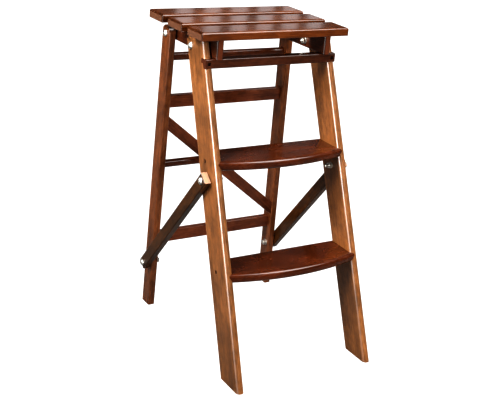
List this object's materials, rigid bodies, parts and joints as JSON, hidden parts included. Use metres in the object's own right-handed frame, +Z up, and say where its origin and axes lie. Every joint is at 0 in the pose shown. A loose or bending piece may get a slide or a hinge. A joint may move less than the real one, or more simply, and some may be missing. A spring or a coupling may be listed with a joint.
{
  "type": "folding step ladder",
  "caption": "Folding wooden step ladder with a slatted platform top, bowed treads, a braced rear frame and side stays that fold flat together.",
  "frame": {"origin": "on the floor, under the middle of the ladder's width and depth, opened out", "axes": "+Z up, -Y towards a person facing the treads, +X to that person's right"},
  "size_m": [0.4256, 0.5299, 0.78],
  "materials": {
    "stile_wood": "glossy varnish over red-brown stained wood",
    "tread_wood": "glossy varnish over dark red-brown stained wood",
    "rail_wood": "glossy varnish over dark red-brown stained wood",
    "leg_wood": "glossy varnish over red-brown stained wood",
    "slat_wood": "glossy varnish over dark red-brown stained wood",
    "stay_wood": "glossy varnish over dark red-brown stained wood",
    "zinc_plate": "bright zinc-plated steel",
    "dark_screw": "dark varnished-over steel screws"
  },
  "bodies": {
    "front_frame": {"stile_left": "stile_wood", "stile_right": "stile_wood", "tread_lower": "tread_wood", "tread_upper": "tread_wood", "tread_screws": "dark_screw", "front_rail": "rail_wood", "front_rail_screws": "dark_screw", "top_pivot_bolts": "zinc_plate", "top_pivot_washers": "zinc_plate", "top_pivot_nuts": "zinc_plate", "stay_pivot_bolts": "zinc_plate", "stay_pivot_spacers": "zinc_plate", "stay_pivot_washers": "zinc_plate", "stay_pivot_nuts": "zinc_plate"},
    "top": {"slat_front": "slat_wood", "slat_middle": "slat_wood", "slat_rear": "slat_wood", "cleat_left": "slat_wood", "cleat_right": "slat_wood", "slat_screws": "dark_screw", "cleat_spacers": "zinc_plate"},
    "rear_frame": {"leg_left": "leg_wood", "leg_right": "leg_wood", "rear_rail_lower": "rail_wood", "rear_rail_upper": "rail_wood", "rear_rung_middle": "rail_wood", "rear_rung_top": "rail_wood", "rear_brace": "rail_wood", "leg_pivot_bolts": "zinc_plate", "leg_pivot_washers": "zinc_plate", "leg_pivot_nuts": "zinc_plate", "leg_studs": "zinc_plate", "leg_stud_spacers": "zinc_plate", "leg_stud_washers": "zinc_plate", "leg_stud_nuts": "zinc_plate"},
    "left_stay": {"stay_left": "stay_wood", "stay_bolt_left": "zinc_plate"},
    "right_stay": {"stay_right": "stay_wood", "stay_bolt_right": "zinc_plate"}
  },
  "joints": [
    {"name": "top_fold", "type": "hinge", "parent": "front_frame", "child": "top", "pos_m": [0, 0.0827, 0.731], "axis": [-1, 0, 0], "range_deg": [0, 93.3]},
    {"name": "rear_frame_fold", "type": "hinge", "parent": "top", "child": "rear_frame", "pos_m": [0, 0.2147, 0.731], "axis": [-1, 0, 0], "range_deg": [-70.2, 0]},
    {"name": "left_stay_fold", "type": "hinge", "parent": "front_frame", "child": "left_stay", "pos_m": [-0.18219, -0.04726, 0.44727], "axis": [-0.9998, 0, 0.0175], "range_deg": [0, 54.54]},
    {"name": "right_stay_fold", "type": "hinge", "parent": "front_frame", "child": "right_stay", "pos_m": [0.18219, -0.04726, 0.44727], "axis": [-0.9998, 0, -0.0175], "range_deg": [0, 54.54]}
  ],
  "couplings": [
    {"joint": "rear_frame_fold", "follows": "top_fold", "ratio": -0.75242},
    {"joint": "left_stay_fold", "follows": "top_fold", "ratio": 0.58451},
    {"joint": "right_stay_fold", "follows": "top_fold", "ratio": 0.58451}
  ]
}
